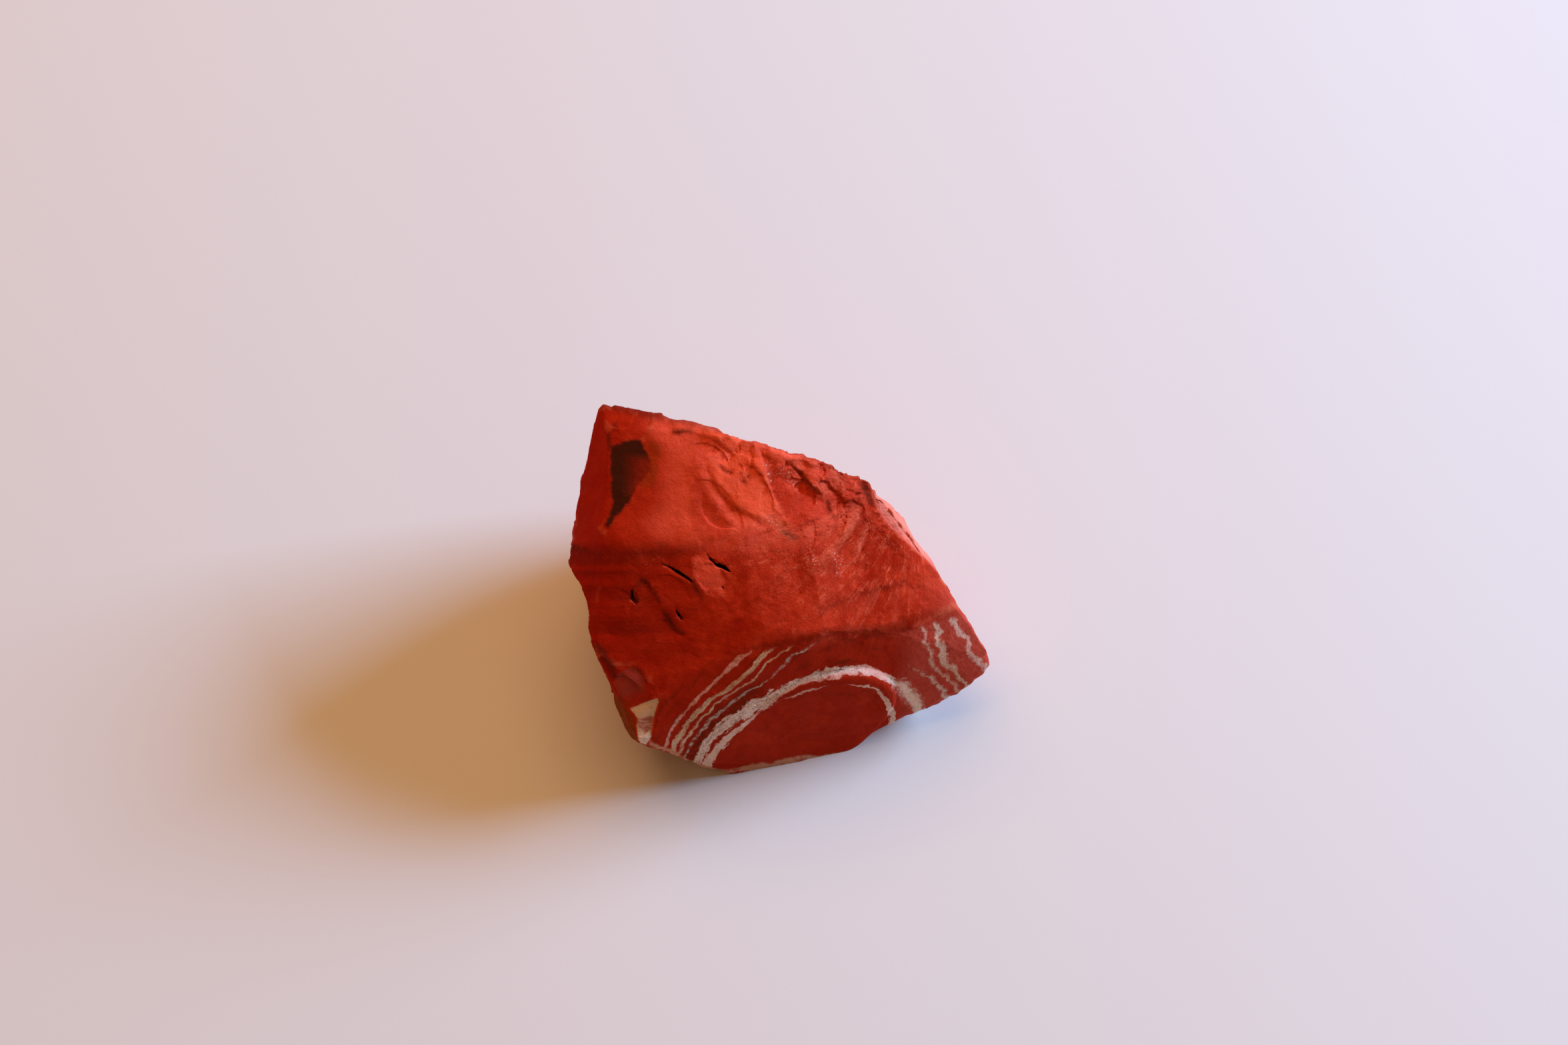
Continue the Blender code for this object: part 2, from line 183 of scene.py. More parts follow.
# Strokes of colour, each with its points and half its width there: the weathered rim, the dark lines across
# the left, the shade along the ridge, dark smudges that are partly painted shade under ledges and in pits,
# pale streaks, crumbs and the splits, whose inside is painted shade.
STROKES = {
    "rind": [
        [
            (-14.0, -20.2, 0.5), (-9.5, -21.8, 0.35), (-6.3, -21.6, 0.3), (-4.0, -21.1, 0.5),
            (-1.6, -21.0, 0.6), (0.7, -20.6, 0.65), (2.4, -20.2, 0.7), (4.6, -19.9, 0.6),
            (7.0, -19.6, 0.25), (9.0, -19.0, 0.0)
        ],
        [
            (-19.1, -16.9, 0.35), (-18.2, -17.3, 0.3), (-16.8, -17.7, 0.35), (-15.5, -18.8, 0.4),
            (-14.0, -20.0, 0.4)
        ],
    ],
    "streak": [
        [(-31.5, 11.5, 1.0), (-23.8, 11.6, 1.0), (-16.7, 11.9, 0.8), (-11.4, 12.6, 0.1)],
        [(-29.0, 8.9, 0.3), (-20.0, 8.8, 0.2)],
        [(-28.0, 6.2, 0.8), (-23.8, 6.0, 0.9), (-19.0, 5.8, 0.3)],
        [(-27.0, 1.2, 0.6), (-22.0, 1.0, 0.7), (-17.0, 0.8, 0.2)],
    ],
    "brow": [
        [(6.3, 3.3, 0.2), (11.6, 5.7, 0.4), (18.8, 7.5, 0.1)],
        [
            (-4.0, -2.2, 0.1), (2.7, -1.2, 0.4), (9.8, 0.5, 0.5), (15.2, 0.1, 0.9), (19.0, 0.3, 0.6),
            (21.5, -1.5, 0.4)
        ],
    ],
    # Dark smudges: partly real marks and partly painted shade under ledges, in pits and inside the lump's
    # edge.
    "dark": [
        [(-31.2, 12.8, 0.3), (-29.0, 12.4, 0.2)],
        [(-25.6, 30.3, 0.05), (-25.4, 28.9, 0.16), (-25.1, 27.4, 0.25)],
        [(-24.7, 31.1, 0.15), (-24.4, 30.8, 0.2)],
        [(-15.7, 30.0, 0.05), (-15.0, 29.8, 0.2), (-14.0, 30.0, 0.12), (-12.8, 29.9, 0.05)],
        [(-5.6, 22.7, 0.1), (-5.1, 22.4, 0.14)],
        [(-4.6, 23.4, 0.1), (-4.5, 23.1, 0.08)],
        [(-8.8, 24.8, 0.05), (-8.1, 24.1, 0.12), (-7.1, 23.8, 0.05)],
        [(1.9, 25.0, 0.05), (3.3, 23.9, 0.15), (4.4, 22.3, 0.12), (5.6, 21.1, 0.0)],
        [(7.2, 19.7, 0.03), (7.3, 18.8, 0.1), (7.5, 18.0, 0.03)],
        [(0.6, 15.0, 0.05), (1.8, 14.6, 0.3), (2.6, 14.2, 0.05)],
        [(12.1, 22.6, 0.05), (12.9, 21.6, 0.4), (13.5, 20.4, 0.5), (14.0, 19.0, 0.1)],
        [(-27.2, -1.6, 0.2), (-26.0, -3.4, 0.5), (-25.0, -5.2, 0.45), (-24.5, -6.6, 0.2)],
        [(-21.6, -5.4, 0.15), (-20.8, -5.9, 0.22), (-19.8, -7.2, 0.05)],
        [(-20.8, 7.4, 0.15), (-20.2, 7.8, 0.2), (-19.5, 7.3, 0.22), (-18.5, 5.9, 0.15), (-17.7, 4.6, 0.12)],
        [(-17.1, 3.1, 0.12), (-16.4, 2.0, 0.28), (-15.8, 0.9, 0.4), (-14.3, 0.0, 0.1)],
        [(-12.9, 7.8, 0.12), (-12.2, 6.6, 0.14), (-11.4, 5.1, 0.04)],
        [(-21.5, 5.3, 0.35), (-21.0, 4.7, 0.2)],
    ],
    "pale": [
        [(11.6, 18.6, 0.3), (10.5, 16.2, 0.6), (9.1, 13.7, 0.6), (7.5, 12.0, 0.5), (6.3, 10.5, 0.2)],
        [(13.4, 16.1, 0.1), (12.7, 14.7, 0.2), (12.2, 13.6, 0.15), (11.8, 12.2, 0.2), (11.3, 10.8, 0.05)],
        [(20.4, 0.9, 0.0), (23.1, 2.1, 0.2), (25.1, 3.2, 0.35), (27.3, 4.2, 0.3)],
        [(-25.3, -4.2, 0.1), (-24.4, -4.6, 0.25), (-23.2, -4.9, 0.15), (-21.6, -4.7, 0.05)],
        [(8.2, 24.2, 0.3), (8.9, 22.8, 0.4), (9.4, 21.8, 0.2)],
        [(-2.2, 17.8, 0.1), (-0.9, 16.9, 0.6), (0.2, 16.2, 0.6), (1.2, 14.9, 0.4), (2.2, 13.8, 0.2)],
        [(-19.0, 32.5, 0.05), (-19.0, 31.1, 0.12), (-19.5, 29.8, 0.12), (-20.2, 28.8, 0.05)],
    ],
    "crumbs": [
        [(-1.9, 24.9, 0.1), (-1.6, 24.1, 0.2), (-1.2, 23.2, 0.25), (-0.9, 22.8, 0.1)],
        [(0.1, 24.2, 0.1), (1.3, 23.5, 0.25), (2.0, 22.8, 0.35), (2.6, 22.4, 0.2)],
        [(-1.6, 16.8, 0.1), (-0.4, 16.0, 0.2), (0.4, 15.2, 0.3), (1.6, 14.4, 0.1)],
        [(4.2, 12.2, 0.1), (5.0, 11.0, 0.3), (4.6, 9.6, 0.1)],
        [(8.4, 11.6, 0.1), (9.0, 10.4, 0.2), (8.6, 9.0, 0.1)],
    ],
    "shaded_slit": [
        [(-10.7, 11.7, 0.02), (-10.1, 11.0, 0.12), (-9.2, 10.3, 0.32), (-8.2, 9.8, 0.3), (-7.2, 9.1, 0.03)],
        [(-17.3, 10.3, 0.03), (-15.9, 9.6, 0.12), (-14.6, 8.9, 0.2), (-13.4, 8.1, 0.2), (-12.9, 7.6, 0.06)],
        [(-21.8, 6.3, 0.1), (-21.8, 5.2, 0.24), (-21.2, 4.2, 0.05)],
        [(-15.2, 3.4, 0.03), (-14.9, 2.7, 0.14), (-14.5, 2.1, 0.07)],
        [(-8.6, 7.8, 0.02), (-8.5, 7.2, 0.1), (-8.2, 6.5, 0.08)],
    ],
}
# Marks that go on round the edge, to the faces turned away from the viewer.
SHOWN_BEHIND = ("rind", "bloom", "lump")
# Painted shade: the line along the top rim, where the far edge of the top face is darkened.
SKYLINE_SHADE = [(-26.9, 34.6), (-7.0, 30.4), (5.0, 26.8), (13.2, 23.4)]

# Broken steps: (height on the left of the line, how far it dies away, half the step's width, the points it
# runs through).
LEDGES = [
    (0.5, 3.5, 0.4, [(-10.8, 26.6), *RAISED_SCAR]),
    (-0.2, 1.2, 0.4, RAISED_SCAR[::-1]),
    (0.3, 2.0, 0.3, FAR_SCAR),
    (-0.3, 1.6, 0.3, FAR_SCAR[::-1]),
    (0.35, 3.2, 0.6, [
        (-13.6, 25.0), (-13.2, 22.0), (-12.8, 17.9), (-12.5, 15.6), (-11.2, 14.2), (-9.6, 13.7),
        (-7.8, 14.0), (-6.8, 15.4)
    ]),
    (0.5, 0.9, 0.2, [(-16.4, 30.2), (-15.0, 29.8), (-14.0, 30.0), (-12.0, 29.8)]),
    (0.4, 3.0, 0.3, [(-19.0, 33.6), (-19.0, 31.1), (-19.5, 29.8), (-20.6, 28.2)]),
    (-0.6, 2.2, 0.25, [(-3.0, 27.6), (-2.1, 24.9), (-1.0, 20.9), (0.0, 18.8), (1.1, 16.7)]),
    (0.45, 2.0, 0.3, [(-0.6, 27.2), (1.1, 25.8), (3.3, 23.7), (4.4, 22.1), (6.6, 20.4)]),
    (-0.3, 1.5, 0.2, [(6.6, 20.4), (4.4, 22.1), (3.3, 23.7), (1.9, 24.8)]),
    (-0.5, 1.4, 0.3, [(12.4, 18.8), (11.8, 16.9), (11.0, 15.0), (9.1, 12.5), (8.0, 10.8)]),
    (-0.3, 1.0, 0.2, [(14.0, 17.2), (13.0, 14.9), (12.4, 13.0), (11.8, 11.4)]),
    (0.45, 1.6, 0.25, [(-8.0, 6.2), (-9.6, 5.6), (-11.4, 6.9), (-12.6, 9.2), (-12.2, 11.2)]),
    (-0.35, 1.2, 0.2, [(-14.0, -0.4), (-15.8, 0.6), (-16.6, 2.0), (-17.3, 3.6)]),
    (-0.4, 1.4, 0.2, [(-17.5, 4.0), (-18.6, 5.9), (-19.5, 7.4), (-20.6, 8.0)]),
    (-0.5, 1.4, 0.2, [(-18.8, -8.8), (-19.8, -7.2), (-20.8, -5.7), (-22.4, -5.0), (-24.6, -4.6)]),
    (-0.5, 2.0, 0.2, [
        (-18.9, -17.0), (-18.9, -14.7), (-18.5, -12.5), (-17.6, -9.7), (-20.0, -10.3), (-22.6, -11.4)
    ]),
    (0.3, 1.4, 0.3, [(2.6, 15.8), (4.2, 16.4), (6.6, 17.8), (7.9, 20.2)]),
    (0.35, 1.4, 0.2, [(6.9, 24.0), (7.6, 22.0), (8.8, 20.6), (10.6, 19.4)]),
    (-0.7, 4.0, 0.25, [*LUMP_EDGE, (24.5, 8.4)]),
]
# Rounded swells and hollows: (height, half width, the points it runs through).
SWELLS = [
    (0.22, 0.9, [(-12.2, 26.4), (-11.2, 23.0), (-10.0, 20.6), (-8.6, 18.4), (-7.6, 16.4)]),
    (0.25, 0.9, [(11.6, 18.6), (10.5, 16.2), (9.1, 13.7), (7.5, 12.0), (6.0, 10.2)]),
    (0.18, 0.4, [(13.4, 16.1), (12.7, 14.7), (12.2, 13.6), (11.8, 12.2), (11.2, 10.4)]),
    (-0.5, 0.7, [(12.1, 22.6), (12.9, 21.4), (13.5, 20.2), (14.2, 18.8)]),
    (-0.35, 0.3, [(-8.9, 24.9), (-8.1, 24.1), (-7.1, 23.8), (-6.8, 24.4)]),
    (-0.35, 0.2, [(-5.6, 22.7), (-5.1, 22.4)]),
    (-0.3, 0.16, [(-4.6, 23.4), (-4.5, 23.1)]),
    (-0.2, 0.15, [(-3.2, 23.6), (-2.3, 23.5)]),
    (-0.3, 0.5, [(3.0, 24.0), (4.2, 22.6)]),
    (-0.3, 0.25, [(7.2, 19.7), (7.5, 18.0)]),
    (-0.35, 0.5, [(-17.0, 3.1), (-16.2, 1.7), (-14.6, 0.2)]),
]
# How strongly the steps and swells stand, and how deep the splits go.
RELIEF = 0.65
SPLIT_DEPTH = 0.7

# The far ridge, the crest of the lump, where the hackles fan from and lie, and the dustiest place.
RIDGE_LINE = ((-6.0, 14.6, 36.6), (13.5, 8.0, 30.8))
LUMP_CREST = ((13.0, 11.5, 30.0), (20.0, 4.0, 25.0))
HACKLE_FOCUS = (18.0, 12.0, 27.0)
HACKLE_MIDDLE = (10.0, 2.0, 29.0)
DUSTY_MIDDLE = (2.0, 6.0, 33.0)
# The smooth places: (middle, reach).
CALM_PLACES = [((-19.0, 9.0, 33.5), 11.0), ((3.5, -18.0, 7.0), 13.0)]

# Where a look fades in: (where there is none of it, where there is all of it). Across the stone:
LEFT_SIDE = (-7.0, -14.0)
LEFT_END = (-18.0, -29.0)
LINES_LEFT = (-8.0, -20.0)
STAIN_LEFT = (-19.9, -23.9)
FOG_LEFT = (-0.5, -5.0)
BLUSH_RIGHT = (-4.0, 4.0)
WIDE_BLUSH_RIGHT = (9.0, 15.0)
BLUSH_ENDS = (17.0, 16.0)
FAN_FADES = (14.0, 6.0)
CREST_RIGHT = (1.0, 9.0)
BANDS_RIGHT = (16.5, 21.0)
RIGHT_END = (19.0, 27.0)
# Up the tilted plane:
STAIN_TOP = (25.0, 27.0)
STAIN_FOOT = (21.5, 20.0)
BELOW_BLOOM = (15.0, 10.0)
LINES_TOP = (13.0, 11.0)
LINES_FOOT = (-8.0, 1.0)
TOP_STREAK = (9.5, 10.5)
CHIP_TOP = (-15.6, -14.6)
# Towards the front, and out of the tilted plane:
FRONT_HALF = (7.0, -6.0)
RAISED_FACES = (16.0, 23.0)
# Away from the ridge, the lump's crest, the hackles and the dustiest place:
RUBBLE_REACH = (7.0, 2.0)
CREST_SHADE_REACH = (5.5, 2.0)
LUMP_REACH = (9.0, 5.0)
HACKLE_REACH = (14.0, 6.0)
FAN_REACH = (20.0, 9.0)
RIBBED_REACH = (18.0, 8.0)
DUSTY_REACH = (20.0, 6.0)
# Into the layers:
FOG_STARTS = (2.6, 4.2)
FOG_ENDS = (6.6, 5.6)
INNER_LAYERS = (8.0, 9.5)

# Shorter edges of the block are closed up.
SHORTEST_EDGE = 0.05
# Heights above the table between which the wear and the relief set in, so that the flat spot stays flat.
WEAR_STARTS = (0.0, 1.5)
RELIEF_STARTS = (0.15, 2.0)
# How far outside its marks a face turned right away from the viewer counts as being.
HELD_OFF = 20.0
# How stiff the plate bent through the bands is. At 0 it meets every point.
BAND_STIFFNESS = 0.15


class Wire:
    """One output of a node. Arithmetic on it adds Math or Vector Math nodes."""

    def __init__(self, graph, socket):
        self.graph = graph
        self.socket = socket

    def join(self, operation, left, right):
        vector = any(isinstance(side, Wire) and side.socket.type == "VECTOR" for side in (left, right))
        kind = "ShaderNodeVectorMath" if vector else "ShaderNodeMath"
        return self.graph.add(kind, {"operation": operation}, {0: left, 1: right})

    def before(self, operation, other):
        return self.join(operation, self, other)

    def after(self, operation, other):
        return self.join(operation, other, self)

    __add__ = partialmethod(before, "ADD")
    __radd__ = partialmethod(after, "ADD")
    __sub__ = partialmethod(before, "SUBTRACT")
    __rsub__ = partialmethod(after, "SUBTRACT")
    __mul__ = partialmethod(before, "MULTIPLY")
    __rmul__ = partialmethod(after, "MULTIPLY")
    __truediv__ = partialmethod(before, "DIVIDE")
    __rtruediv__ = partialmethod(after, "DIVIDE")
    least = partialmethod(before, "MINIMUM")
    most = partialmethod(before, "MAXIMUM")

    def __abs__(self):
        return self.graph.add("ShaderNodeMath", {"operation": "ABSOLUTE"}, {0: self})

    def measure(self, operation, values, output="Value"):
        return self.graph.add("ShaderNodeVectorMath", {"operation": operation}, {0: self, **values}, output)

    def dot(self, other):
        return self.measure("DOT_PRODUCT", {1: other})

    def length(self):
        return self.measure("LENGTH", {})

    def unit(self):
        return self.measure("NORMALIZE", {}, "Vector")

    def ease(self, low, high, start=0.0, end=1.0):
        """Runs smoothly from start to end while this goes from low to high."""
        settings = {"interpolation_type": "SMOOTHSTEP"}
        if not isinstance(low, Wire) and low > high:
            low, high, start, end = high, low, end, start
        values = {"Value": self, "From Min": low, "From Max": high, "To Min": start, "To Max": end}
        return self.graph.add("ShaderNodeMapRange", settings, values)


class Graph:
    """A node tree, shader or geometry, that nodes are added to."""

    def __init__(self, tree):
        self.tree = tree

    def add(self, kind, settings=None, values=None, *outputs):
        """A new node: its settings, its sockets' values or links, and the outputs wanted, else its first."""
        made = self.tree.nodes.new(kind)
        for name, value in (settings or {}).items():
            setattr(made, name, value)
        for key, value in (values or {}).items():
            socket = made.inputs[key]
            if isinstance(value, Wire):
                self.tree.links.new(value.socket, socket)
            elif socket.type == "RGBA":
                socket.default_value = opaque(value)
            elif socket.type == "VECTOR" and not hasattr(value, "__len__"):
                socket.default_value = (value,) * 3
            else:
                socket.default_value = value
        if not made.outputs:
            return None
        wires = [Wire(self, made.outputs[key]) for key in outputs or (0,)]
        return wires[0] if len(wires) == 1 else wires

    def mix(self, amount, first, second):
        """The colour between two colours. Sockets 6, 7 and 2 of a Mix node are those for colours."""
        values = {0: amount, 6: first, 7: second}
        return self.add("ShaderNodeMix", {"data_type": "RGBA"}, values, 2)

    def blend(self, amount, first, second):
        """The vector between two vectors. Sockets 4, 5 and 1 of a Mix node are those for vectors."""
        values = {0: amount, 4: first, 5: second}
        return self.add("ShaderNodeMix", {"data_type": "VECTOR"}, values, 1)

    def noise(self, place, size, detail=2.0, rough=0.5, away=0.0):
        """Noise from 0 to 1 with lumps of this size. Noises with another away differ."""
        values = {"Vector": place * (1 / size) + (away, away * 0.7, -away), "Scale": 1.0, "Detail": detail,
                  "Roughness": rough}
        return self.add("ShaderNodeTexNoise", {}, values)

    def pack(self, x, y, z=0.0):
        return self.add("ShaderNodeCombineXYZ", {}, {0: x, 1: y, 2: z})

    def from_line(self, place, start, end):
        """How far a place is from the straight stretch between two points."""
        along = Vector(end) - Vector(start)
        offset = place - start
        part = (offset.dot(tuple(along)) * (1 / along.length_squared)).least(1.0).most(0.0)
        return (offset - self.pack(*(part * a for a in along))).length()


def opaque(tint):
    return (*tint, 1.0)


# --- Relief ---


def new_tree(name, inputs):
    """A geometry tree with these inputs. It gives the tree, its graph and what the inputs hold."""
    tree = bpy.data.node_groups.new(name, "GeometryNodeTree")
    graph = Graph(tree)
    for title, (kind, default) in inputs.items():
        socket = tree.interface.new_socket(name=title, in_out="INPUT", socket_type=kind)
        if default is not None:
            socket.default_value = default
    tree.interface.new_socket(name="Geometry", in_out="OUTPUT", socket_type="NodeSocketGeometry")
    held = graph.add("NodeGroupInput", {}, {}, *range(len(inputs)))
    return tree, graph, dict(zip(inputs, held))


def finish_tree(graph, geometry, material):
    realized = graph.add("GeometryNodeRealizeInstances", {}, {"Geometry": geometry})
    painted = graph.add("GeometryNodeSetMaterial", {}, {"Geometry": realized, "Material": material})
    graph.add("NodeGroupOutput", {}, {0: painted})


def softened(graph, value, rounds):
    return graph.add("GeometryNodeBlurAttribute", {"data_type": "FLOAT_VECTOR"},
                     {"Value": value, "Iterations": rounds, "Weight": 1.0})


def worn_block_tree():
    """The tree that cuts the block's faces finely and wears its corners round."""
    tree, graph, given = new_tree("worn block", {
        "Geometry": ("NodeSocketGeometry", None), "Subdivisions": ("NodeSocketInt", 2),
        "Softening": ("NodeSocketInt", 3), "Stone": ("NodeSocketMaterial", None)})
    fine = graph.add("GeometryNodeSubdivideMesh", {},
                     {"Mesh": given["Geometry"], "Level": given["Subdivisions"]})
    position = graph.add("GeometryNodeInputPosition")
    worn = (position.dot(UP) * (1 / MM)).ease(*WEAR_STARTS)
    place = graph.blend(worn, position, softened(graph, position, given["Softening"]))
    moved = graph.add("GeometryNodeSetPosition", {}, {"Geometry": fine, "Position": place})
    finish_tree(graph, moved, given["Stone"])
    return tree


def drawn_out(graph, place, fineness, drift, away):
    """Noise drawn out along the lines that fan from the focus of the hackles."""
    ray = place - HACKLE_FOCUS
    return graph.noise(ray.unit() * fineness + graph.pack(ray.length() * drift, away), 1.0, 4.0, 0.65)


def chunks(graph, place, size, away):
    """Broken flats: cells of this size, each leaning its own way, as a height against the cell's size."""
    moved = place * (1 / size) + (away, -away, away)
    tint, cell = graph.add("ShaderNodeTexVoronoi", {}, {"Vector": moved, "Scale": 1.0}, "Color", "Position")
    lean = graph.add("ShaderNodeVectorMath", {"operation": "SUBTRACT"}, {0: tint, 1: 0.5})
    own_height = lean.dot((0.5, 0.3, 0.2))
    return lean.dot(moved - cell) + own_height


def broken_face_tree():
    """The tree that carves the steps and splits held on the mesh, and breaks the faces between them."""
    tree, graph, given = new_tree("broken faces", {
        "Geometry": ("NodeSocketGeometry", None), "Grain": ("NodeSocketFloat", 0.06),
        "Flats": ("NodeSocketFloat", 0.1), "Breaks": ("NodeSocketFloat", 0.8),
        "Rubble": ("NodeSocketFloat", 0.42), "Hackles": ("NodeSocketFloat", 0.3),
        "Stone": ("NodeSocketMaterial", None)})
    position = graph.add("GeometryNodeInputPosition")
    normal = graph.add("GeometryNodeInputNormal")
    place = position * (1 / MM)
    near_ridge = graph.from_line(place, *RIDGE_LINE).ease(*RUBBLE_REACH)
    calm = [(place - middle).length().ease(reach, reach * 0.5) for middle, reach in CALM_PLACES]
    rough = (1.0 - reduce(Wire.most, calm) * 0.75).most(near_ridge)
    facing = normal.dot(OUT_OF_PLANE)
    far_side = facing.ease(0.3, -0.1)

    rubble = (chunks(graph, place, 2.6, 3.0) + chunks(graph, place, 1.3, 9.0) * 0.45) * near_ridge
    flats = (chunks(graph, place, 4.2, 5.0) + chunks(graph, place, 1.9, 1.0) * 0.5) * rough
    breaks = (chunks(graph, place, 6.5, 2.0) + chunks(graph, place, 2.7, 7.0) * 0.4) * far_side
    grain = (graph.noise(place, size=0.9, detail=5.0, rough=0.62) - 0.5) * (rough * 0.8 + 0.35)
    swell = graph.noise(place, size=5.0, detail=3.0, away=4.0) - 0.5
    swell = swell * (rough * 0.8 + 0.3) * (far_side * 0.9 + 0.5)
    where = (place - HACKLE_MIDDLE).length().ease(*HACKLE_REACH) * facing.ease(0.2, 0.5)
    hackles = (drawn_out(graph, place, 16.0, 0.12, 0.0) - 0.5) * where
    carved = graph.add("GeometryNodeInputNamedAttribute", {"data_type": "FLOAT"}, {"Name": "carving"})
    height = (rubble * given["Rubble"] + flats * given["Flats"] + breaks * given["Breaks"]
              + grain * given["Grain"] * 2.0 + swell + hackles * given["Hackles"] * 2.0 + carved)

    offset = normal * (height * place.dot(UP).ease(*RELIEF_STARTS) * MM)
    moved = graph.add("GeometryNodeSetPosition", {}, {"Geometry": given["Geometry"], "Offset": offset})
    edge = (position - softened(graph, position, 4)).dot(normal) * (1 / MM)
    held = graph.add("GeometryNodeStoreNamedAttribute", {"data_type": "FLOAT", "domain": "POINT"},
                     {"Geometry": moved, "Name": "edge", "Value": edge})
    finish_tree(graph, held, given["Stone"])
    return tree


# --- Marks held on the mesh ---


def nearest_on_line(flat, points):
    """Each place's distance from a line through points, its side, and how far along the line it falls."""
    points = np.array(points, float)
    away = np.full(len(flat), np.inf)
    side = np.zeros(len(flat))
    along = np.zeros(len(flat))
    for i, (start, end) in enumerate(zip(points, points[1:])):
        run = end[:2] - start[:2]
        offset = flat - start[:2]
        part = np.clip(offset @ run / max(run @ run, 1e-9), 0, 1)
        gap = np.linalg.norm(offset - part[:, None] * run, axis=1)
        closer = gap < away
        away[closer] = gap[closer]
        side[closer] = np.sign(run[0] * offset[:, 1] - run[1] * offset[:, 0])[closer]
        along[closer] = (i + part)[closer]
    return away, side, along / (len(points) - 1)


def outside_patch(flat, corners):
    """How far each place is outside a patch. It is negative inside."""
    corners = np.array(corners, float)
    ring = np.vstack([corners, corners[:1]])
    inside = np.zeros(len(flat), bool)
    for (x1, y1), (x2, y2) in zip(ring, ring[1:]):
        crosses = (y1 > flat[:, 1]) != (y2 > flat[:, 1])
        inside ^= crosses & (flat[:, 0] < (x2 - x1) * (flat[:, 1] - y1) / (y2 - y1 + 1e-12) + x1)
    away = nearest_on_line(flat, ring)[0]
    return np.where(inside, -away, away)


def outside_strokes(flat, strokes):
    """How far each place is outside the nearest of several strokes, whose half widths change along them."""
    gaps = []
    for points in strokes:
        away, _, along = nearest_on_line(flat, points)
        halves = [half for _, _, half in points]
        gaps.append(away - np.interp(along, np.linspace(0, 1, len(points)), halves))
    return np.min(gaps, axis=0)


def layers(flat):
    """How deep each place lies in the banding, and how fast that grows: a plate bent through the bands."""
    knots = np.array([point[:2] for _, points in BANDS for point in points])
    depths = np.array([depth for depth, points in BANDS for _ in points])

    def bend(a, b):
        square = ((a[:, None] - b[None]) ** 2).sum(2)
        return square * np.log(np.maximum(square, 1e-9)) / 2

    count = len(knots)
    system = np.zeros((count + 3, count + 3))
    system[:count, :count] = bend(knots, knots) + BAND_STIFFNESS * np.eye(count)
    system[:count, count:] = np.column_stack([np.ones(count), knots])
    system[count:, :count] = system[:count, count:].T
    weights = np.linalg.solve(system, np.append(depths, [0, 0, 0]))

    def depth(places):
        plane = np.column_stack([np.ones(len(places)), places])
        return bend(places, knots) @ weights[:count] + plane @ weights[count:]

    here = depth(flat)
    step = 0.05
    slope = [depth(flat + way) - here for way in np.eye(2) * step]
    return here, np.clip(np.hypot(*slope) / step, 0.15, 2.0)


def half_widths(flat):
    """Half the width of each band at each place, by the band's depth."""
    found = {}
    for depth in sorted({depth for depth, _ in BANDS}):
        runs = sorted(point for at, points in BANDS if at == depth for point in points)
        across, _, halves = zip(*runs)
        if any(halves):
            found[depth] = np.interp(flat[:, 0], across, halves)
    return found


def front_below(flat):
    """How far each place is below the ridge that ends the banded face."""
    across, up = zip(*FRONT_RIDGE)
    return np.interp(flat[:, 0], across, up) - flat[:, 1]


def step_up(away, side, width):
    """0 to 1 across a line, from its right to its left."""
    part = np.clip(0.5 + side * away / (2 * width), 0, 1)
    return part * part * (3 - 2 * part)


def tapered(along):
    """1 in the middle of a line and 0 at its ends."""
    return np.sqrt(np.clip(np.sin(np.pi * along), 0, 1))


def carving(flat):
    """How high the steps, swells and splits stand, in millimetres."""
    height = np.zeros(len(flat))
    for rise, reach, half, points in LEDGES:
        away, side, along = nearest_on_line(flat, points)
        height += rise * tapered(along) * step_up(away, side, half) * np.exp(-away / reach)
    for rise, half, points in SWELLS:
        away, _, along = nearest_on_line(flat, points)
        height += rise * np.exp(-((away / half) ** 2)) * (0.3 + 0.7 * tapered(along))
    cut = np.clip(0.2 - outside_strokes(flat, STROKES["shaded_slit"]) / 0.3, 0, 1)
    return height * RELIEF - cut * SPLIT_DEPTH


def hold_marks(mesh):
    """Stores on the mesh how far each point is outside every mark, and the height of the carving."""
    places = np.empty(len(mesh.vertices) * 3)
    normals = np.empty(len(mesh.vertices) * 3)
    mesh.vertices.foreach_get("co", places)
    mesh.vertex_normals.foreach_get("vector", normals)
    places = places.reshape(-1, 3) / MM
    facing = normals.reshape(-1, 3) @ np.array(OUT_OF_PLANE)
    flat = np.column_stack([places[:, 0], places @ np.array(UP_PLANE)])
    depth, pace = layers(flat)
    marks = {"facing": facing, "layer": depth, "pace": pace, "front": front_below(flat),
             "carving": carving(flat) * np.clip(facing * 4 - 0.2, 0, 1),
             "skyline_shade": nearest_on_line(flat, SKYLINE_SHADE)[0]}
    for at, halves in half_widths(flat).items():
        marks[f"half_{at:g}"] = halves
    turned_away = np.clip(0.1 - facing, 0, 1)
    for outside, shapes in ((outside_patch, PATCHES), (outside_strokes, STROKES)):
        for name, shape in shapes.items():
            marks[name] = outside(flat, shape) + turned_away * HELD_OFF * (name not in SHOWN_BEHIND)
    for name, values in marks.items():
        attribute = mesh.attributes.new(name, "FLOAT", "POINT")
        attribute.data.foreach_set("value", values.astype(np.float32))


# --- Material ---


